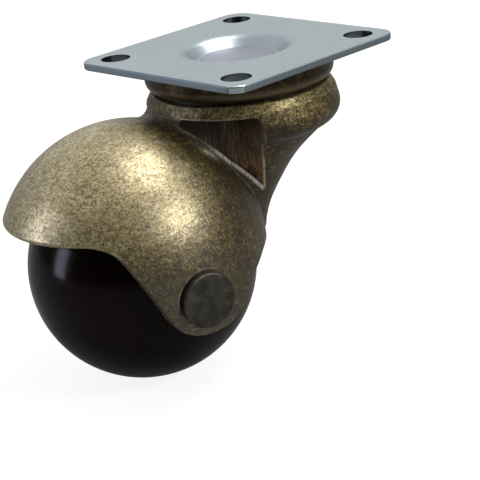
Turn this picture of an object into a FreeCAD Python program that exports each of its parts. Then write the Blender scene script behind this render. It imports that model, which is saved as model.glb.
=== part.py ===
import FreeCAD, Part
import math
import os

# Hooded ball castor with a square top plate. All lengths are millimetres.
# The origin is the centre of the plate's top face, on the swivel axis, with +Z up.
# Everything below the plate is drawn trailing towards -X, with the axle along Y,
# and is then turned about the swivel axis by rest_swivel_deg.

rest_swivel_deg = -13.5

# top plate, pressed from sheet
plate_side = 50.0
plate_thick = 1.6
plate_corner_r = 4.2
plate_edge_r = 0.35
hole_spacing = 37.5
hole_r = 3.2
recess_mouth_r = 11.8
recess_floor_r = 9.0
recess_depth = 2.9
recess_bend_r = 1.2

# king pin, riveted through the plate
pin_head_r = 7.9
pin_head_thick = 1.0
pin_head_edge_r = 0.3
pin_r = 4.0
pin_length = 24.6
pin_tip_bevel = 0.7
pin_collar_r = 5.6
pin_collar_thick = 0.8

# race cap, a stamped dish clamped under the plate
cap_thick = 1.2
cap_overhang = 1.1
cap_drop = 5.8
cap_curl_r = 2.2
cap_corner_r = 1.1
cap_bend_r = 0.6
cap_curl_reach = 2.3

# ball bearing between the cap and the yoke
bearing_ball_r = 2.38
bearing_ball_count = 19
race_ledge = 0.6
race_width = 5.8
race_floor_thick = 1.1
race_shoulder_drop = 1.3

# ball wheel and its axle
ball_r = 25.0
ball_behind_axis = 4.2
hub_inset = 1.4
axle_r = 3.15
bush_wall = 1.2
washer_r = 6.4
washer_thick = 0.8
rivet_head_r = 5.9
rivet_head_thick = 2.5
rivet_head_dome = 0.6
rivet_head_edge_r = 0.35

# hood, a dome that is a little narrower across than it is long
hood_room = 4.5
hood_side_room = 3.1
hood_ahead = 1.8
hood_above = 2.9
hood_top_drop = 10.0
hood_wall = 2.4
ear_pad_r = 7.2
ear_pad_thick = 1.3
spot_face_r = 6.4
spot_face_depth = 0.5

# lower edge of the hood in the side view, measured from the axle
brim_above = 14.1
brim_corner_ahead = 16.7
brim_corner_r = 6.7
lobe_below = 9.1
lobe_front_ahead = 5.0
lobe_rear_behind = 10.5
lobe_front_r = 11.2
lobe_rear_r = 10.0
heel_behind = 14.0
heel_below = 0.5
heel_r = 4.0
back_behind = 19.6
back_above = 3.1
back_r = 8.0
tail_above = 3.4
hood_edge_r = 0.7

# neck, a bell round the swivel axis that sinks into the hood
seat_wall = 1.5
flange_edge_r = 0.6
shoulder_flare = 1.2
shoulder_drop = 9.9
bell_flare = 2.5
bell_drop = 15.5
bell_edge_r = 4.0
throat_r = 8.0
throat_drop = 23.0
throat_bend_r = 25.0
neck_tail_r = 1.6
neck_tail_drop = 38.0
neck_tail_bend_r = 25.0
neck_blend_r = 3.0

# stem, a round bar that leans back from under the bell: drop under the plate, lean, radius
stem_sections = (
    (16.6, 0.6, 19.2),
    (19.0, 1.6, 17.6),
    (22.0, 4.0, 16.0),
    (26.0, 5.8, 14.1),
    (29.6, 7.2, 12.9),
    (33.7, 9.0, 12.1),
    (37.8, 10.3, 11.8),
    (42.0, 10.8, 11.8),
    (60.0, 10.8, 11.8),
)

# side pockets that leave a web in the middle of the neck
flange_thick = 2.6
web_half_thick = 7.5
crest_drop = 32.4
pocket_rear_top = 8.0
pocket_rear_foot = 4.4
pocket_web_r = 4.0

# retaining ring of the king pin
ring_drop = 24.0
ring_height = 1.1
ring_wall = 1.3
ring_bite = 0.8
ring_gap = 3.0

# clearances
gap_running = 0.06
gap_press = 0.03
gap_bearing = 0.10
gap_flange = 0.5
gap_ball = 0.6
gap_thrust = 0.3
gap_ring = 0.15

# lengths under this count as nothing when shapes are compared
tiny = 1e-4

ORIGIN = FreeCAD.Vector(0, 0, 0)
AXIS_Y = FreeCAD.Vector(0, 1, 0)
AXIS_Z = FreeCAD.Vector(0, 0, 1)

# radii of the bearing, stepping outwards from the plate's recess
race_bore_r = recess_mouth_r + race_ledge
race_seat_r = race_bore_r + race_width
bearing_pitch_r = race_bore_r + race_width / 2
flange_r = race_seat_r + seat_wall
cap_r = flange_r + cap_overhang
shoulder_r = flange_r + shoulder_flare
bell_r = flange_r + bell_flare

# heights of the stack under the plate
recess_floor_z = -recess_depth
recess_under_z = recess_floor_z - plate_thick
cap_centre_z = recess_under_z - cap_thick
race_top_z = -plate_thick - cap_thick
bearing_z = race_top_z - gap_bearing - bearing_ball_r
race_groove_r = bearing_ball_r + gap_bearing
race_floor_z = bearing_z - race_groove_r - race_floor_thick
race_shoulder_z = bearing_z - race_shoulder_drop
cap_bottom_z = -plate_thick - cap_drop
flange_top_z = cap_bottom_z - gap_flange
flange_under_z = flange_top_z - flange_thick
boss_top_z = cap_centre_z - pin_collar_thick - gap_flange
pin_tip_z = recess_floor_z - pin_length

# centres of the wheel and of the hood's dome, before the swivelling parts are turned
trail = ball_behind_axis + ball_r
hub_half_width = ball_r - hub_inset
hood_r = ball_r + hood_room
hood_half_width = ball_r + hood_side_room
axle_drop = hood_top_drop + hood_r + hood_above
BALL_CENTRE = FreeCAD.Vector(-trail, 0, -axle_drop)
HOOD_CENTRE = BALL_CENTRE + FreeCAD.Vector(-hood_ahead, 0, hood_above)
ear_face = hood_half_width * math.sqrt(1 - (hood_ahead**2 + hood_above**2) / hood_r**2)
rivet_seat = ear_face - spot_face_depth
pad_face = hub_half_width + gap_thrust + washer_thick
far = 2 * (trail + hood_r)


def outline(*corners):
    """Closed face in the side view. A corner is (x, z), or (x, z, radius) where it is rounded."""
    points = [FreeCAD.Vector(corner[0], 0, corner[1]) for corner in corners]
    edges = []
    leaving = []
    entering = []
    for number, corner in enumerate(corners):
        here = points[number]
        back = (points[number - 1] - here).normalize()
        ahead = (points[(number + 1) % len(points)] - here).normalize()
        radius = corner[2] if len(corner) > 2 else 0
        half_angle = back.getAngle(ahead) / 2
        cut = radius / math.tan(half_angle)
        entering.append(here + back * cut)
        leaving.append(here + ahead * cut)
        if radius:
            inward = (back + ahead).normalize()
            middle = here + inward * (radius / math.sin(half_angle) - radius)
            edges.append(Part.Arc(entering[-1], middle, leaving[-1]).toShape())
    for number, start in enumerate(leaving):
        end = entering[(number + 1) % len(entering)]
        if start.distanceToPoint(end) > tiny:
            edges.append(Part.LineSegment(start, end).toShape())
    return Part.Face(Part.Wire(Part.__sortEdges__(edges)))


def turned(*corners):
    """Solid turned about the swivel axis from corners of radius and height."""
    return outline(*corners).revolve(ORIGIN, AXIS_Z, 360)


def upright(radius, low, high):
    """Round bar on the swivel axis from one height to another."""
    return Part.makeCylinder(radius, high - low, FreeCAD.Vector(0, 0, low))


def across(radius, near, far_end):
    """Round bar on the axle, from y = near to y = far_end."""
    return Part.makeCylinder(radius, far_end - near, BALL_CENTRE + AXIS_Y * near, AXIS_Y)


def through(face, near, far_end):
    """Side-view face made solid from y = near to y = far_end."""
    solid = face.extrude(AXIS_Y * (far_end - near))
    solid.translate(AXIS_Y * near)
    return solid


def spheroid(centre, radius, half_width):
    """Ball squashed along Y: half an ellipse turned about its short axis."""
    curve = Part.Ellipse(centre, radius, half_width).toShape(-math.pi / 2, math.pi / 2)
    chord = Part.LineSegment(curve.Vertexes[-1].Point, curve.Vertexes[0].Point).toShape()
    return Part.Face(Part.Wire([curve, chord])).revolve(centre, AXIS_Y, 360)


def mirrored(shape):
    """The shape's twin on the other side of the castor."""
    return shape.mirror(ORIGIN, AXIS_Y)


def swivelled(shape):
    """The shape turned to the castor's rest position about the swivel axis."""
    shape.rotate(ORIGIN, AXIS_Z, rest_swivel_deg)
    return shape


def edges_on_both(solid, first, second):
    """Edges of a solid whose middle lies on the skins of two other shapes."""
    found = []
    for edge in solid.Edges:
        if edge.Degenerated:
            continue
        middle = Part.Vertex(edge.valueAt((edge.FirstParameter + edge.LastParameter) / 2))
        on_first = middle.distToShape(first)[0] < tiny
        on_second = middle.distToShape(second)[0] < tiny
        if on_first and on_second:
            found.append(edge)
    return found


def top_plate():
    """Square plate with four holes and a pressed recess for the king pin's head."""
    half = plate_side / 2
    plate = Part.makeBox(plate_side, plate_side, plate_thick, FreeCAD.Vector(-half, -half, -plate_thick))
    plate = plate.makeFillet(plate_corner_r, [edge for edge in plate.Edges if edge.BoundBox.ZLength > tiny])
    plate = plate.makeFillet(plate_edge_r, [edge for edge in plate.Edges if edge.BoundBox.ZLength < tiny])
    wall_run = recess_mouth_r - recess_floor_r
    lean = math.atan2(recess_depth, wall_run)
    inset = plate_thick * math.tan(lean / 2)
    rim_r = recess_mouth_r + 2 * recess_bend_r
    outer_bend_r = recess_bend_r + plate_thick
    recess = turned(
        (0, recess_floor_z),
        (recess_floor_r, recess_floor_z, recess_bend_r),
        (recess_mouth_r, 0, outer_bend_r),
        (rim_r + plate_thick, 0),
        (rim_r + plate_thick, -plate_thick),
        (recess_mouth_r + inset, -plate_thick, recess_bend_r),
        (recess_floor_r + inset, recess_under_z, outer_bend_r),
        (0, recess_under_z),
    )
    plate = plate.cut(upright(rim_r + plate_thick, -plate_thick, 0)).fuse(recess)
    plate = plate.cut(upright(pin_r + gap_press, recess_under_z, 0))
    for x in (-hole_spacing / 2, hole_spacing / 2):
        for y in (-hole_spacing / 2, hole_spacing / 2):
            plate = plate.cut(Part.makeCylinder(hole_r, plate_thick, FreeCAD.Vector(x, y, -plate_thick)))
    return plate.removeSplitter()


def king_pin():
    """Pin with a flat head in the recess, a collar under the cap and a ring groove near its tip."""
    head_top_z = recess_floor_z + pin_head_thick
    collar_z = cap_centre_z - pin_collar_thick
    pin = turned(
        (0, head_top_z),
        (pin_head_r, head_top_z, pin_head_edge_r),
        (pin_head_r, recess_floor_z),
        (pin_r, recess_floor_z),
        (pin_r, cap_centre_z),
        (pin_collar_r, cap_centre_z),
        (pin_collar_r, collar_z),
        (pin_r, collar_z),
        (pin_r, pin_tip_z + pin_tip_bevel),
        (pin_r - pin_tip_bevel, pin_tip_z),
        (0, pin_tip_z),
    )
    groove = upright(pin_head_r, -ring_drop - ring_height - gap_ring, -ring_drop + gap_ring)
    core = upright(ring_inner_r() - gap_ring, pin_tip_z, 0)
    return pin.cut(groove.cut(core))


def ring_outer_r():
    """Outer radius of the retaining ring, which bites into the yoke's bore."""
    return pin_r + gap_running + ring_bite


def ring_inner_r():
    """Inner radius of the retaining ring, which reaches into the pin's groove."""
    return ring_outer_r() - ring_wall


def race_cap():
    """Stamped dish: it follows the plate's recess, carries the upper race and curls in at its rim."""
    wall_run = recess_mouth_r - recess_floor_r
    lean = math.atan2(recess_depth, wall_run)
    inset = plate_thick * math.tan(lean / 2)
    outset = (plate_thick + cap_thick) * math.tan(lean / 2)
    bend_r = recess_bend_r + plate_thick
    inner_bend_r = cap_curl_r - cap_thick
    return turned(
        (pin_r + gap_press, recess_under_z),
        (recess_floor_r + inset, recess_under_z, bend_r),
        (recess_mouth_r + inset, -plate_thick, recess_bend_r),
        (cap_r, -plate_thick, cap_corner_r),
        (cap_r, cap_bottom_z, cap_curl_r),
        (cap_r - cap_curl_reach, cap_bottom_z),
        (cap_r - cap_curl_reach, cap_bottom_z + cap_thick),
        (cap_r - cap_thick, cap_bottom_z + cap_thick, inner_bend_r),
        (cap_r - cap_thick, race_top_z),
        (recess_mouth_r + outset, race_top_z, cap_bend_r),
        (recess_floor_r + outset, cap_centre_z, bend_r + cap_thick),
        (pin_r + gap_press, cap_centre_z),
    )


def lower_race():
    """Hardened ring seated in the yoke, with a round groove for the bearing balls."""
    ring = turned(
        (race_bore_r + gap_press, race_floor_z),
        (race_bore_r + gap_press, race_shoulder_z),
        (race_seat_r - gap_press, race_shoulder_z),
        (race_seat_r - gap_press, race_floor_z),
    )
    return ring.cut(Part.makeTorus(bearing_pitch_r, race_groove_r, FreeCAD.Vector(0, 0, bearing_z)))


def bearing_balls():
    """Ring of loose balls between the two races."""
    balls = []
    for number in range(bearing_ball_count):
        ball = Part.makeSphere(bearing_ball_r, FreeCAD.Vector(bearing_pitch_r, 0, bearing_z))
        ball.rotate(ORIGIN, AXIS_Z, 360.0 * number / bearing_ball_count)
        balls.append(ball)
    return Part.Compound(balls)


def neck():
    """Bell round the swivel axis, with the seat for the lower race in its top."""
    return turned(
        (0, boss_top_z),
        (race_bore_r, boss_top_z),
        (race_bore_r, race_floor_z),
        (race_seat_r, race_floor_z),
        (race_seat_r, flange_top_z),
        (flange_r, flange_top_z, flange_edge_r),
        (shoulder_r, -shoulder_drop),
        (bell_r, -bell_drop, bell_edge_r),
        (throat_r, -throat_drop, throat_bend_r),
        (neck_tail_r, -neck_tail_drop, neck_tail_bend_r),
        (neck_tail_r, -far),
        (0, -far),
    )


def stem():
    """Round bar under the bell that leans back towards the hood."""
    rings = []
    for drop, lean, radius in stem_sections:
        rings.append(Part.Wire(Part.makeCircle(radius, FreeCAD.Vector(-lean, 0, -drop))))
    return Part.makeLoft(rings, True, False)


def side_pocket():
    """Cutter for the blind triangular pocket in one side of the neck."""
    face = outline(
        (-pocket_rear_top, flange_under_z),
        (-pocket_rear_foot, pocket_rear_foot - crest_drop),
        (-crest_drop - flange_under_z, flange_under_z),
    )
    cutter = through(face, web_half_thick, far)
    rear = [edge for edge in cutter.Edges if edge.BoundBox.YMax < web_half_thick + tiny
            and edge.BoundBox.XMin > -pocket_rear_top - tiny]
    return cutter.makeFillet(pocket_web_r, rear)


def hood_opening():
    """Cutter for everything below the hood's lower edge: brim, ear lobe, heel and back."""
    x = -trail
    z = -axle_drop
    face = outline(
        (-far, z + brim_above),
        (x - brim_corner_ahead, z + brim_above, brim_corner_r),
        (x - lobe_front_ahead, z - lobe_below, lobe_front_r),
        (x + lobe_rear_behind, z - lobe_below, lobe_rear_r),
        (x + heel_behind, z - heel_below, heel_r),
        (x + back_behind, z + back_above, back_r),
        (far, z + tail_above),
        (far, -far),
        (-far, -far),
    )
    return through(face, -far, far)


def yoke():
    """One casting: neck, hood and two ears."""
    dome = spheroid(HOOD_CENTRE, hood_r, hood_half_width)
    bell = neck()
    opening = hood_opening()
    body = bell.fuse(dome).cut(opening).Solids[0]
    body = body.makeFillet(neck_blend_r, edges_on_both(body, bell.Shells[0], dome.Shells[0]))
    body = body.makeFillet(hood_edge_r, edges_on_both(body, opening.Shells[0], dome.Shells[0]))
    body = body.fuse(stem().cut(opening))
    for pocket in (side_pocket(), mirrored(side_pocket())):
        body = body.cut(pocket)
    hollow = spheroid(HOOD_CENTRE, hood_r - hood_wall, hood_half_width - hood_wall)
    hollow = hollow.fuse(Part.makeSphere(ball_r + gap_ball, BALL_CENTRE))
    body = body.cut(hollow)
    pad = across(ear_pad_r, pad_face, pad_face + ear_pad_thick)
    body = body.fuse(pad).fuse(mirrored(pad))
    body = body.cut(across(axle_r + gap_press, -far, far))
    for spot in (across(spot_face_r, rivet_seat, far), across(spot_face_r, -far, -rivet_seat)):
        body = body.cut(spot)
    body = body.cut(upright(pin_r + gap_running, pin_tip_z - gap_flange, 0))
    body = body.cut(upright(ring_outer_r(), -ring_drop - ring_height, -ring_drop + gap_ring))
    return body.removeSplitter()


def retaining_ring():
    """Split spring ring that holds the king pin down in the yoke's bore."""
    ring = upright(ring_outer_r(), -ring_drop - ring_height, -ring_drop)
    ring = ring.cut(upright(ring_inner_r(), -ring_drop - ring_height, -ring_drop))
    slot = Part.makeBox(far, ring_gap, far, FreeCAD.Vector(0, -ring_gap / 2, -far))
    return ring.cut(slot)


def ball_wheel():
    """Ball with a flat at each end of its hub and a bore for the bush."""
    ball = Part.makeSphere(ball_r, BALL_CENTRE)
    ball = ball.common(across(far, -hub_half_width, hub_half_width))
    return ball.cut(across(axle_r + gap_running + bush_wall, -far, far))


def axle_bush():
    """Plain bush pressed through the ball."""
    tube = across(axle_r + gap_running + bush_wall - gap_press, -hub_half_width, hub_half_width)
    return tube.cut(across(axle_r + gap_running, -far, far))


def axle_rivet():
    """Solid rivet through both ears, with a low domed head at each end."""
    crown_r = (rivet_head_r**2 + rivet_head_dome**2) / (2 * rivet_head_dome)
    head_top = rivet_seat + rivet_head_thick
    head = across(rivet_head_r, rivet_seat, head_top)
    head = head.common(Part.makeSphere(crown_r, BALL_CENTRE + AXIS_Y * (head_top - crown_r)))
    crown_edge = [edge for edge in head.Edges if edge.BoundBox.YLength < tiny
                  and edge.BoundBox.YMin > rivet_seat + tiny]
    head = head.makeFillet(rivet_head_edge_r, crown_edge)
    return across(axle_r, -rivet_seat, rivet_seat).fuse(head).fuse(mirrored(head)).removeSplitter()


def axle_washer(hand):
    """Thrust washer seated on the pad inside one ear."""
    washer = across(washer_r, pad_face - washer_thick, pad_face).cut(across(axle_r + gap_running, -far, far))
    return washer if hand > 0 else mirrored(washer)


def build():
    """Every piece by its node name."""
    return {
        "top_plate": top_plate(),
        "king_pin": king_pin(),
        "race_cap": race_cap(),
        "lower_race": swivelled(lower_race()),
        "bearing_balls": bearing_balls(),
        "yoke": swivelled(yoke()),
        "retaining_ring": swivelled(retaining_ring()),
        "ball_wheel": swivelled(ball_wheel()),
        "axle_bush": swivelled(axle_bush()),
        "axle_rivet": swivelled(axle_rivet()),
        "left_washer": swivelled(axle_washer(1)),
        "right_washer": swivelled(axle_washer(-1)),
    }


def main():
    os.makedirs("parts", exist_ok=True)
    for name, shape in build().items():
        shape.exportStep("parts/" + name + ".step")
        print(name, shape.isValid(), len(shape.Solids), round(shape.Volume, 1))


main()
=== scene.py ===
import math

import bpy
from mathutils import Matrix, Vector

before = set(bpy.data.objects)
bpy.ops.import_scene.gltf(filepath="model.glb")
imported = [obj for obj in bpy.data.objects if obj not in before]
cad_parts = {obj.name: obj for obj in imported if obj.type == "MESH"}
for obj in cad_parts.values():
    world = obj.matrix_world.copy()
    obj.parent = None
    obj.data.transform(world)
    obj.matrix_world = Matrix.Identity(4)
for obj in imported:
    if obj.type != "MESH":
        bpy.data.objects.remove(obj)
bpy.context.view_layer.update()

# Hooded ball castor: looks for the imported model. Metres, in the row frame, which the
# object coordinates of every node share at rest.
REST_TURN = math.radians(-13.5)
TRAIL = 0.0292
AXLE_DROP = 0.0424
WHEEL_CENTRE = Vector((-TRAIL * math.cos(REST_TURN), -TRAIL * math.sin(REST_TURN), -AXLE_DROP))
AXLE_DIRECTION = Vector((-math.sin(REST_TURN), math.cos(REST_TURN), 0.0))
AHEAD = (math.cos(REST_TURN), math.sin(REST_TURN), 0.0)
UP = (0.0, 0.0, 1.0)
# Towards the right-hand lamp: the flange's painted highlight is strongest on that side.
RIGHT_LAMP_SIDE = (0.259, -0.966, 0.0)
FLOOR_Z = -0.0674
HOLE_OFFSET = 0.01875

# The web's crest lies in a plane that leans back at 45 degrees, this far from the origin.
CREST_OFFSET = 0.02291
# The pockets' front wall: how much it leans, and how far behind the swivel axis it would
# meet the plate's face.
WALL_LEAN = 0.2057
WALL_OFFSET = 0.01016

# Cosine between the bevelled and the plain normal where an edge's pale band is full, and where it ends.
# The band is wear on the cap, a painted highlight on the pin, and wear with a painted highlight on the
# rivet.
PALE_EDGE_BAND = (0.80, 0.985)


# Node helpers

class Shader:
    """Short names for the nodes of one material."""

    def __init__(self, name):
        self.material = bpy.data.materials.new(name)
        self.material.use_nodes = True
        self.tree = self.material.node_tree
        self.tree.nodes.clear()
        self.out = self.tree.nodes.new("ShaderNodeOutputMaterial")
        self.bsdf = self.tree.nodes.new("ShaderNodeBsdfPrincipled")
        self.link(self.bsdf.outputs[0], self.out.inputs[0])
        self.place = self.tree.nodes.new("ShaderNodeTexCoord").outputs["Object"]

    def link(self, a, b):
        self.tree.links.new(a, b)

    def put(self, value, socket):
        """Links a socket, or sets a constant on one."""
        if isinstance(value, bpy.types.NodeSocket):
            self.link(value, socket)
        else:
            socket.default_value = value

    def math(self, operation, *values):
        node = self.tree.nodes.new("ShaderNodeMath")
        node.operation = operation
        for value, socket in zip(values, node.inputs):
            self.put(value, socket)
        return node.outputs[0]

    def add(self, a, b):
        return self.math("ADD", a, b)

    def times(self, *values):
        """Product of all the values."""
        total = values[0]
        for value in values[1:]:
            total = self.math("MULTIPLY", total, value)
        return total

    def line(self, value, slope, start):
        return self.math("MULTIPLY_ADD", value, slope, start)

    def weighed(self, *pairs):
        """Sum of values, each times its weight."""
        parts = [self.math("MULTIPLY", value, weight) for value, weight in pairs]
        total = parts[0]
        for part in parts[1:]:
            total = self.add(total, part)
        return total

    def vector(self, operation, a, b=None, scale=None):
        node = self.tree.nodes.new("ShaderNodeVectorMath")
        node.operation = operation
        self.put(a, node.inputs[0])
        if b is not None:
            self.put(b, node.inputs[1])
        if scale is not None:
            self.put(scale, node.inputs["Scale"])
        return node.outputs["Value" if operation in ("LENGTH", "DOT_PRODUCT") else "Vector"]

    def along(self, direction):
        """How far a point lies along a direction."""
        return self.vector("DOT_PRODUCT", self.place, direction)

    def noise(self, scale, detail=4.0, roughness=0.55, distortion=0.0, at=None):
        node = self.tree.nodes.new("ShaderNodeTexNoise")
        node.inputs["Scale"].default_value = scale
        node.inputs["Detail"].default_value = detail
        node.inputs["Roughness"].default_value = roughness
        node.inputs["Distortion"].default_value = distortion
        self.link(at if at is not None else self.place, node.inputs["Vector"])
        return node.outputs["Fac"]

    def voronoi(self, scale, at):
        node = self.tree.nodes.new("ShaderNodeTexVoronoi")
        node.inputs["Scale"].default_value = scale
        self.link(at, node.inputs["Vector"])
        return node.outputs["Distance"]

    def stretched(self, x, y, z):
        """The place with each axis scaled: a pattern stretches along an axis of less than 1."""
        node = self.tree.nodes.new("ShaderNodeMapping")
        node.inputs["Scale"].default_value = (x, y, z)
        self.link(self.place, node.inputs["Vector"])
        return node.outputs[0]

    def rise(self, value, low, high, to_low=0.0, to_high=1.0):
        """Smooth step from to_low at low to to_high at high."""
        node = self.tree.nodes.new("ShaderNodeMapRange")
        node.interpolation_type = "SMOOTHSTEP"
        for socket, number in zip(node.inputs[1:5], (low, high, to_low, to_high)):
            socket.default_value = number
        self.link(value, node.inputs[0])
        return node.outputs[0]

    def fall(self, value, low, high):
        """Smooth step from 1 at low to 0 at high."""
        return self.rise(value, low, high, 1.0, 0.0)

    def ramp(self, value, *stops):
        node = self.tree.nodes.new("ShaderNodeValToRGB")
        elements = node.color_ramp.elements
        while len(elements) < len(stops):
            elements.new(0.5)
        for element, (place, colour) in zip(elements, stops):
            element.position = place
            element.color = (*colour, 1.0)
        self.link(value, node.inputs[0])
        return node.outputs[0]

    def mix(self, share, a, b, blend="MIX"):
        node = self.tree.nodes.new("ShaderNodeMix")
        node.data_type = "RGBA"
        node.blend_type = blend
        self.put(share, node.inputs[0])
        for value, socket in ((a, node.inputs[6]), (b, node.inputs[7])):
            if isinstance(value, tuple):
                socket.default_value = (*value, 1.0)
            else:
                self.link(value, socket)
        return node.outputs[2]

    def bump(self, height, strength, distance, under=None):
        node = self.tree.nodes.new("ShaderNodeBump")
        node.inputs["Strength"].default_value = strength
        node.inputs["Distance"].default_value = distance
        self.link(height, node.inputs["Height"])
        if under is not None:
            self.link(under, node.inputs["Normal"])
        return node.outputs[0]

    def edge(self, radius, low, high):
        """How near a point is to an edge of the shape."""
        bevel = self.tree.nodes.new("ShaderNodeBevel")
        bevel.samples = 6
        bevel.inputs["Radius"].default_value = radius
        plain = self.tree.nodes.new("ShaderNodeNewGeometry").outputs["Normal"]
        turn = self.vector("DOT_PRODUCT", bevel.outputs[0], plain)
        return self.rise(turn, high, low)

    def hollow(self, reach, closed, clear):
        """How sheltered a point is by the shape round it, from clear (0) to closed in (1)."""
        node = self.tree.nodes.new("ShaderNodeAmbientOcclusion")
        node.samples = 6
        node.inputs["Distance"].default_value = reach
        return self.fall(node.outputs["AO"], closed, clear)

    def finish(self, colour, metallic, roughness, normal=None, **others):
        """Fills the surface shader; others are more of its inputs, with _ for a space."""
        if isinstance(colour, tuple):
            colour = (*colour, 1.0)
        self.put(colour, self.bsdf.inputs["Base Color"])
        self.put(metallic, self.bsdf.inputs["Metallic"])
        self.put(roughness, self.bsdf.inputs["Roughness"])
        if normal is not None:
            self.link(normal, self.bsdf.inputs["Normal"])
        for name, value in others.items():
            self.put(value, self.bsdf.inputs[name.replace("_", " ")])
        return self.material


def axle_radius(s):
    """Distance of a point from the axle's line."""
    away = s.vector("SUBTRACT", s.place, tuple(WHEEL_CENTRE))
    along = s.vector("DOT_PRODUCT", away, tuple(AXLE_DIRECTION))
    foot = s.vector("SCALE", tuple(AXLE_DIRECTION), scale=along)
    return s.vector("LENGTH", s.vector("SUBTRACT", away, foot))


# Plate and king pin

def hole_distance(s):
    """Distance of a point from the axis of the nearest screw hole."""
    corner = s.vector("SUBTRACT", s.vector("ABSOLUTE", s.place), (HOLE_OFFSET, HOLE_OFFSET, 0.0))
    return s.vector("LENGTH", s.vector("MULTIPLY", corner, (1.0, 1.0, 0.0)))


def square_distance(s):
    """Half the side of the square round the swivel axis that a point lies on."""
    sides = s.tree.nodes.new("ShaderNodeSeparateXYZ")
    s.link(s.vector("ABSOLUTE", s.place), sides.inputs[0])
    return s.math("MAXIMUM", sides.outputs["X"], sides.outputs["Y"])


def swivel_radius(s):
    """Distance of a point from the swivel axis."""
    return s.vector("LENGTH", s.stretched(1.0, 1.0, 0.0))


def zinc_sheet():
    """Bright zinc plating on rolled sheet: pale blue-grey satin with faint rolling lines."""
    s = Shader("zinc_sheet")
    cloud = s.noise(45, 4, 0.5)
    rolled = s.noise(900, 4, 0.6, at=s.stretched(0.04, 1.0, 1.0))
    grain = s.noise(5200, 2, 0.6)
    marks = s.fall(s.voronoi(260, s.stretched(0.35, 1.0, 1.0)), 0.02, 0.10)
    hole_shade = s.fall(hole_distance(s), 0.00322, 0.00334)
    edge_shade = s.rise(square_distance(s), 0.02460, 0.02468)
    recess_shade = s.fall(swivel_radius(s), 0.0110, 0.0136)
    colour = s.ramp(
        s.weighed((cloud, 0.5), (rolled, 0.5)),
        (0.30, (0.520, 0.605, 0.635)),
        (0.52, (0.555, 0.640, 0.670)),
        (0.72, (0.590, 0.675, 0.705)),
    )
    colour = s.mix(s.times(marks, 0.06), colour, (0.40, 0.44, 0.48))
    # painted shade: the screw holes' walls coloured near black
    colour = s.mix(s.times(hole_shade, 0.75), colour, (0.035, 0.042, 0.052))
    # painted shade: the plate's rounded outer edge darkened so that it doesn't shine
    colour = s.mix(s.times(edge_shade, 0.80), colour, (0.16, 0.19, 0.215))
    # painted shade: the stamped recess round the king pin darkened, which dims its highlight
    colour = s.mix(s.times(recess_shade, 0.35), colour, (0.26, 0.30, 0.33))
    rough = s.rise(s.weighed((cloud, 0.7), (grain, 0.3)), 0.3, 0.7, 0.24, 0.31)
    rough = s.line(edge_shade, 0.34, rough)
    rough = s.line(recess_shade, 0.06, rough)
    normal = s.bump(rolled, 0.05, 0.0001)
    normal = s.bump(grain, 0.05, 0.00005, normal)
    return s.finish(colour, 1.0, rough, normal)


def pin_zinc():
    """Head of the king pin: turned face with a lavender cast."""
    s = Shader("pin_zinc")
    ring_step = 0.00022
    rings = s.math("SINE", s.times(swivel_radius(s), 2 * math.pi / ring_step))
    cloud = s.noise(120, 4, 0.5)
    colour = s.ramp(cloud, (0.3, (0.40, 0.40, 0.47)), (0.7, (0.46, 0.46, 0.53)))
    # painted highlight: the pale rim along the head's edge
    pale_edge = s.edge(0.0004, *PALE_EDGE_BAND)
    colour = s.mix(s.times(pale_edge, 0.8), colour, (0.86, 0.88, 0.92))
    rough = s.rise(cloud, 0.3, 0.7, 0.28, 0.36)
    normal = s.bump(s.times(rings, 0.5), 0.05, 0.00004)
    normal = s.bump(s.noise(3000, 3), 0.05, 0.00005, normal)
    return s.finish(colour, 1.0, rough, normal)


# Yoke

def hood_rub_and_crest_shade(s, ahead, height, behind, wander):
    """Where the hood is rubbed, darker towards the stem, with painted shade beside the crest where the plate
    shades the hood.
    """
    # painted shade: the plate's shadow beside the crest, a band that widens towards its foot
    crest_shade = s.add(s.add(behind, wander), s.line(height, 0.25, 0.0048))
    return s.times(s.rise(crest_shade, 0.0003, 0.0060), s.rise(ahead, -0.0290, -0.0165, 1.0, 0.22))


def low_hood_shade(s, ahead, height, wander):
    """Painted shade: a darker patch that stays low on the hood, between the brim and the ear."""
    across = s.times(s.rise(ahead, -0.0510, -0.0455), s.fall(ahead, -0.0385, -0.0325))
    return s.times(across, s.fall(s.add(height, wander), -0.0345, -0.0275))


def flange_rub_and_highlight(s, height, wander):
    """Where the bell's flange is rubbed, on its top, with a painted highlight that makes it brightest on the
    side facing the right-hand lamp.
    """
    top = s.rise(s.add(height, wander), -0.0160, -0.0095)
    return s.times(top, s.rise(s.along(RIGHT_LAMP_SIDE), -0.004, 0.018, 0.30, 0.80))


def pocket_share(s, wall, height, behind):
    """1 inside the blind pockets and 0 elsewhere on the yoke."""
    within = s.times(s.fall(wall, 0.0003, 0.0006), s.fall(height, -0.0110, -0.0104))
    return s.times(within, s.fall(behind, -0.0006, 0.0004))


def pocket_colour(s, streaks, wall, height):
    """Brown and streaked, lighter low down, with painted light by the front wall and painted shade at the
    top, under the flange.
    """
    colour = s.ramp(
        streaks,
        (0.38, (0.062, 0.044, 0.026)),
        (0.52, (0.118, 0.088, 0.054)),
        (0.66, (0.230, 0.185, 0.125)),
    )
    # painted light: the front wall lightened, where little light reaches it
    colour = s.mix(s.rise(wall, -0.0034, -0.0012), colour, (1.9, 1.8, 1.7), "MULTIPLY")
    # painted shade: the top of the pocket, under the flange
    colour = s.mix(s.rise(height, -0.0185, -0.0110), colour, (0.26, 0.24, 0.20), "MULTIPLY")
    return s.mix(s.rise(height, -0.0180, -0.0240), colour, (2.3, 2.3, 2.3), "MULTIPLY")


def crest_line(s, streaks, ahead, height, behind):
    """The bright worn line down the sharp crest of the web."""
    line = s.times(s.fall(s.math("ABSOLUTE", behind), 0.0003, 0.0010), s.rise(height, -0.0145, -0.0200))
    return s.times(line, s.rise(ahead, -0.0040, -0.0050), s.rise(streaks, 0.40, 0.55, 0.35, 1.0))


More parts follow.
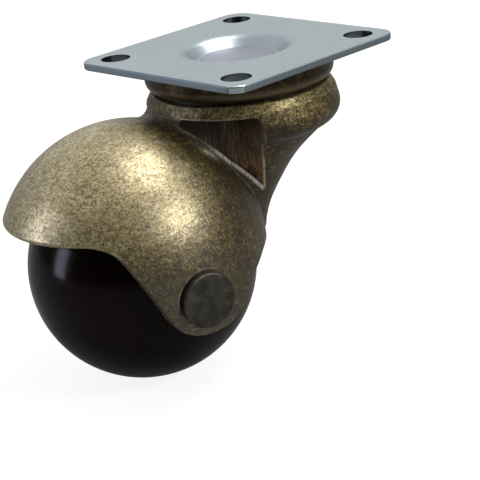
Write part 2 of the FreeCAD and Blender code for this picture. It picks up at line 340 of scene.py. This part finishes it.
def antique_brass():
    """Cast body: blackened brass plating, rubbed back on the hood and darker round the neck, with painted
    shade beside the crest, low on the hood and under the flange in the pockets, and painted light on the
    flange and the pockets' front wall.
    """
    s = Shader("antique_brass")
    ahead = s.along(AHEAD)
    height = s.along(UP)
    # more than 0 on the hood's side of the crest's plane
    behind = s.line(s.add(ahead, height), -math.sqrt(0.5), -CREST_OFFSET)
    # less than 0 on the pockets' side of their front wall
    wall = s.add(ahead, s.line(height, WALL_LEAN, WALL_OFFSET))

    broad = s.noise(70, 4, 0.55, 0.4)
    mottle = s.noise(480, 5, 0.6, 0.5)
    specks = s.noise(2700, 3, 0.6, 0.8)
    streaks = s.noise(2300, 4, 0.65, at=s.stretched(1.0, 1.0, 0.07))
    scratches = s.noise(1700, 3, 0.6, at=s.stretched(1.0, 1.0, 0.12))
    # short crossed strokes of brass that show through the blackening
    upright = s.noise(2300, 3, 0.5, 1.0, at=s.stretched(1.0, 1.0, 0.40))
    level = s.noise(2300, 3, 0.5, 1.0, at=s.stretched(0.40, 0.40, 1.0))
    strokes = s.math("MAXIMUM", upright, level)
    wander = s.line(broad, 0.008, -0.004)

    hood = hood_rub_and_crest_shade(s, ahead, height, behind, wander)
    off_ear = s.rise(s.add(axle_radius(s), wander), 0.0075, 0.0205)
    # rubbed brass, with painted shade by the crest and low on the hood, and a painted highlight on the
    # flange
    rub_and_painted_light = s.times(hood, s.line(off_ear, 0.62, 0.38))
    rub_and_painted_light = s.times(rub_and_painted_light, s.line(low_hood_shade(s, ahead, height, wander), -0.42, 1.0))
    rub_and_painted_light = s.math("MAXIMUM", rub_and_painted_light, flange_rub_and_highlight(s, height, wander))

    tone = s.weighed((broad, 0.08), (mottle, 0.14), (strokes, 0.62), (specks, 0.26))
    tone = s.add(tone, s.line(rub_and_painted_light, 0.150, -0.182))
    colour = s.ramp(
        tone,
        (0.38, (0.030, 0.020, 0.009)),
        (0.46, (0.100, 0.068, 0.018)),
        (0.52, (0.256, 0.188, 0.055)),
        (0.57, (0.420, 0.335, 0.140)),
        (0.65, (0.590, 0.520, 0.350)),
    )
    colour = s.mix(s.times(s.hollow(0.006, 0.30, 0.80), 0.50), colour, (0.040, 0.029, 0.016))
    pale_edge = s.times(s.edge(0.0008, 0.82, 0.985), s.rise(mottle, 0.38, 0.6, 0.3, 1.0))
    colour = s.mix(s.times(pale_edge, 0.8), colour, (0.62, 0.54, 0.38))
    pocket = pocket_share(s, wall, height, behind)
    colour = s.mix(pocket, colour, pocket_colour(s, streaks, wall, height))
    crest = crest_line(s, streaks, ahead, height, behind)
    colour = s.mix(crest, colour, (0.78, 0.74, 0.66))

    metal = s.times(s.line(rub_and_painted_light, 0.14, 0.46), s.line(pocket, -0.60, 1.0))
    rough = s.rise(tone, 0.38, 0.62, 0.48, 0.37)
    # the lacquer is whole on the hood, thin on stem and bell, and nearly gone in the pockets
    lacquer = s.times(s.line(hood, 0.66, 0.30), s.line(pocket, -0.80, 1.0))
    normal = s.bump(mottle, 0.06, 0.00030)
    normal = s.bump(strokes, 0.12, 0.00014, normal)
    # scratched on the stem's side of the crest only
    normal = s.bump(s.times(scratches, s.fall(behind, -0.001, 0.002)), 0.40, 0.00012, normal)
    return s.finish(
        colour, metal, rough, normal,
        Specular_IOR_Level=0.25, Coat_Weight=lacquer, Coat_Roughness=0.42, Coat_IOR=1.78,
    )


# Race cap, rivet, ball and the steel inside

def bronze_cap():
    """Race cap: near-black bronze plating, with painted light on its lower bead, below the shade of the
    plate.
    """
    s = Shader("bronze_cap")
    mottle = s.noise(420, 6, 0.65, 0.3)
    speckle = s.noise(1900, 4, 0.7)
    tone = s.weighed((mottle, 0.6), (speckle, 0.4))
    colour = s.ramp(
        tone,
        (0.36, (0.018, 0.012, 0.007)),
        (0.50, (0.045, 0.032, 0.018)),
        (0.66, (0.120, 0.088, 0.052)),
    )
    # painted light: the lower bead lighter than the band above it, which the plate shades
    lit_bead = s.fall(s.along(UP), -0.0063, -0.0046)
    colour = s.mix(s.times(lit_bead, 0.65), colour, (0.230, 0.178, 0.112))
    pale_edge = s.edge(0.0006, *PALE_EDGE_BAND)
    colour = s.mix(s.times(pale_edge, 0.5), colour, (0.42, 0.34, 0.22))
    rough = s.rise(tone, 0.35, 0.65, 0.44, 0.30)
    return s.finish(colour, 0.95, rough, s.bump(mottle, 0.15, 0.0002))


def pewter_rivet():
    """Rivet head: dark pewter, faint turned rings and dings from heading."""
    s = Shader("pewter_rivet")
    ring_step = 0.00060
    radius = axle_radius(s)
    wobble = s.add(radius, s.times(s.noise(220, 3), 0.00025))
    rings = s.math("SINE", s.times(wobble, 2 * math.pi / ring_step))
    middle = s.rise(radius, 0.0018, 0.0036, 1.0, 0.15)
    cloud = s.noise(320, 6, 0.62)
    colour = s.ramp(
        cloud,
        (0.30, (0.046, 0.041, 0.032)),
        (0.50, (0.080, 0.073, 0.058)),
        (0.72, (0.150, 0.138, 0.112)),
    )
    # pale edge: wear on the head's rim, with a painted highlight that brightens it
    pale_edge = s.edge(0.0004, *PALE_EDGE_BAND)
    colour = s.mix(s.times(pale_edge, 0.85), colour, (0.46, 0.43, 0.36))
    rough = s.rise(cloud, 0.3, 0.7, 0.56, 0.44)
    normal = s.bump(s.times(rings, middle), 0.40, 0.00006)
    normal = s.bump(s.noise(1400, 5, 0.65), 0.22, 0.00012, normal)
    return s.finish(colour, 0.95, rough, normal)


def gloss_ball():
    """Moulded ball: near-black with a maroon cast, polished, with hair scratches."""
    s = Shader("gloss_ball")
    cloud = s.noise(60, 5, 0.6)
    hair = s.noise(800, 3, 0.6, at=s.stretched(1.0, 0.08, 1.0))
    colour = s.ramp(cloud, (0.3, (0.0048, 0.0016, 0.0007)), (0.7, (0.0074, 0.0026, 0.0012)))
    rough = s.rise(s.weighed((cloud, 0.5), (hair, 0.5)), 0.35, 0.65, 0.13, 0.19)
    normal = s.bump(s.noise(45, 2, 0.5), 0.05, 0.0006)
    normal = s.bump(hair, 0.03, 0.00004, normal)
    return s.finish(colour, 0.0, rough, normal, IOR=1.49, Specular_IOR_Level=0.13)


def plain_steel(name, dark, light, smooth, rough):
    """Machined or sprung steel inside the castor, ground fine. Its roughness varies from smooth to rough."""
    s = Shader(name)
    cloud = s.noise(200, 5, 0.6)
    ground = s.noise(2500, 3, 0.6, at=s.stretched(1.0, 1.0, 0.1))
    colour = s.ramp(cloud, (0.3, dark), (0.7, light))
    return s.finish(colour, 1.0, s.rise(ground, 0.3, 0.7, smooth, rough), s.bump(ground, 0.08, 0.00005))


def dress(node, material):
    """Gives a CAD node its finish."""
    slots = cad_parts[node].data.materials
    slots.clear()
    slots.append(material)


def dress_pieces():
    dress("top_plate", zinc_sheet())
    dress("king_pin", pin_zinc())
    dress("race_cap", bronze_cap())
    dress("yoke", antique_brass())
    dress("axle_rivet", pewter_rivet())
    dress("ball_wheel", gloss_ball())
    dress("axle_bush", plain_steel("bush_metal", (0.42, 0.40, 0.36), (0.56, 0.54, 0.50), 0.2, 0.35))
    dress("bearing_balls", plain_steel("ball_steel", (0.66, 0.67, 0.68), (0.76, 0.77, 0.78), 0.05, 0.12))
    # painted shade: the lower race coloured near black, as the dark gap between cap and flange
    dress("lower_race", plain_steel("race_steel", (0.055, 0.052, 0.048), (0.10, 0.095, 0.09), 0.35, 0.5))
    dress("retaining_ring", plain_steel("spring_steel", (0.16, 0.16, 0.17), (0.26, 0.26, 0.27), 0.3, 0.45))
    washer = plain_steel("washer_steel", (0.42, 0.42, 0.42), (0.56, 0.56, 0.56), 0.25, 0.4)
    dress("left_washer", washer)
    dress("right_washer", washer)


# Studio

def camera():
    """The photo's camera, as fitted to the plate, the ball and the rivet."""
    azimuth, elevation, roll = (math.radians(a) for a in (-42.85, 20.56, -6.18))
    target = Vector((-0.00513, 0.0, -0.04358))
    distance = 0.34897
    level = math.cos(elevation)
    back = Vector((math.sin(azimuth) * level, -math.cos(azimuth) * level, math.sin(elevation)))
    side = Vector(UP).cross(back).normalized()
    top = back.cross(side)
    right = math.cos(roll) * side + math.sin(roll) * top
    up = -math.sin(roll) * side + math.cos(roll) * top
    data = bpy.data.cameras.new("camera")
    data.sensor_width = 36.0
    data.lens = 116.0
    data.clip_start = 0.01
    data.clip_end = 20.0
    cam = bpy.data.objects.new("camera", data)
    bpy.context.scene.collection.objects.link(cam)
    turn = Matrix((right, up, back)).transposed().to_4x4()
    cam.matrix_world = Matrix.Translation(target + back * distance) @ turn
    bpy.context.scene.camera = cam


def soft_box(name, azimuth, elevation, distance, width, height, watts, colour):
    """Rectangular lamp that faces the castor. Azimuth is from +X towards +Y, in degrees."""
    a, e = math.radians(azimuth), math.radians(elevation)
    aim = Vector((-0.012, 0.0, -0.03))
    away = Vector((math.cos(a) * math.cos(e), math.sin(a) * math.cos(e), math.sin(e)))
    data = bpy.data.lights.new(name, "AREA")
    data.shape = "RECTANGLE"
    data.size = width
    data.size_y = height
    data.energy = watts
    data.color = colour
    lamp = bpy.data.objects.new(name, data)
    lamp.location = aim + away * distance
    lamp.rotation_mode = "QUATERNION"
    lamp.rotation_quaternion = away.to_track_quat("Z", "Y")
    bpy.context.scene.collection.objects.link(lamp)


def floor():
    """Grey paper that the camera sees as white, and that keeps the castor's shadow."""
    half = 3.0
    corners = [(-half, -half, 0), (half, -half, 0), (half, half, 0), (-half, half, 0)]
    mesh = bpy.data.meshes.new("floor")
    mesh.from_pydata(corners, [], [(0, 1, 2, 3)])
    ground = bpy.data.objects.new("floor", mesh)
    ground.location.z = FLOOR_Z
    bpy.context.scene.collection.objects.link(ground)
    s = Shader("floor_paper")
    s.finish((0.24, 0.24, 0.24), 0.0, 0.9, Specular_IOR_Level=0.0)
    path = s.tree.nodes.new("ShaderNodeLightPath")
    glow = s.tree.nodes.new("ShaderNodeEmission")
    glow.inputs["Color"].default_value = (1.0, 1.0, 0.98, 1.0)
    mirrored = s.times(path.outputs["Is Glossy Ray"], 0.06)
    s.link(s.line(path.outputs["Is Camera Ray"], 0.88, mirrored), glow.inputs["Strength"])
    both = s.tree.nodes.new("ShaderNodeAddShader")
    s.link(s.bsdf.outputs[0], both.inputs[0])
    s.link(glow.outputs[0], both.inputs[1])
    s.link(both.outputs[0], s.out.inputs[0])
    mesh.materials.append(s.material)


def surroundings():
    """World: a pale sky that darkens towards the horizon, seen directly as plain white."""
    world = bpy.data.worlds.new("studio")
    bpy.context.scene.world = world
    world.use_nodes = True
    tree = world.node_tree
    tree.nodes.clear()
    place = tree.nodes.new("ShaderNodeTexCoord")
    toward = tree.nodes.new("ShaderNodeVectorMath")
    toward.operation = "DOT_PRODUCT"
    brightest = (0.30, 0.38, 0.875)
    toward.inputs[1].default_value = brightest
    ramp = tree.nodes.new("ShaderNodeValToRGB")
    stops = ramp.color_ramp.elements
    stops[0].position, stops[0].color = 0.26, (0.04, 0.04, 0.04, 1)
    stops[1].position, stops[1].color = 0.76, (0.70, 0.715, 0.72, 1)
    sky = tree.nodes.new("ShaderNodeBackground")
    sky.inputs["Strength"].default_value = 1.0
    white = tree.nodes.new("ShaderNodeBackground")
    white.inputs["Color"].default_value = (1.0, 1.0, 0.98, 1.0)
    white.inputs["Strength"].default_value = 1.0
    path = tree.nodes.new("ShaderNodeLightPath")
    choice = tree.nodes.new("ShaderNodeMixShader")
    out = tree.nodes.new("ShaderNodeOutputWorld")
    tree.links.new(place.outputs["Generated"], toward.inputs[0])
    tree.links.new(toward.outputs["Value"], ramp.inputs[0])
    tree.links.new(ramp.outputs[0], sky.inputs["Color"])
    tree.links.new(path.outputs["Is Camera Ray"], choice.inputs[0])
    tree.links.new(sky.outputs[0], choice.inputs[1])
    tree.links.new(white.outputs[0], choice.inputs[2])
    tree.links.new(choice.outputs[0], out.inputs[0])


def studio():
    bpy.context.scene.view_settings.view_transform = "Standard"
    surroundings()
    soft_box("overhead", -32, 68, 0.70, 0.42, 0.38, 3.4, (1.0, 0.985, 0.96))
    soft_box("right_box", -78, 30, 0.75, 0.22, 0.24, 2.1, (0.97, 0.98, 1.0))
    soft_box("left_strip", 142, 15, 0.75, 0.17, 0.50, 1.9, (0.80, 0.84, 1.0))
    floor()
    camera()


dress_pieces()
studio()
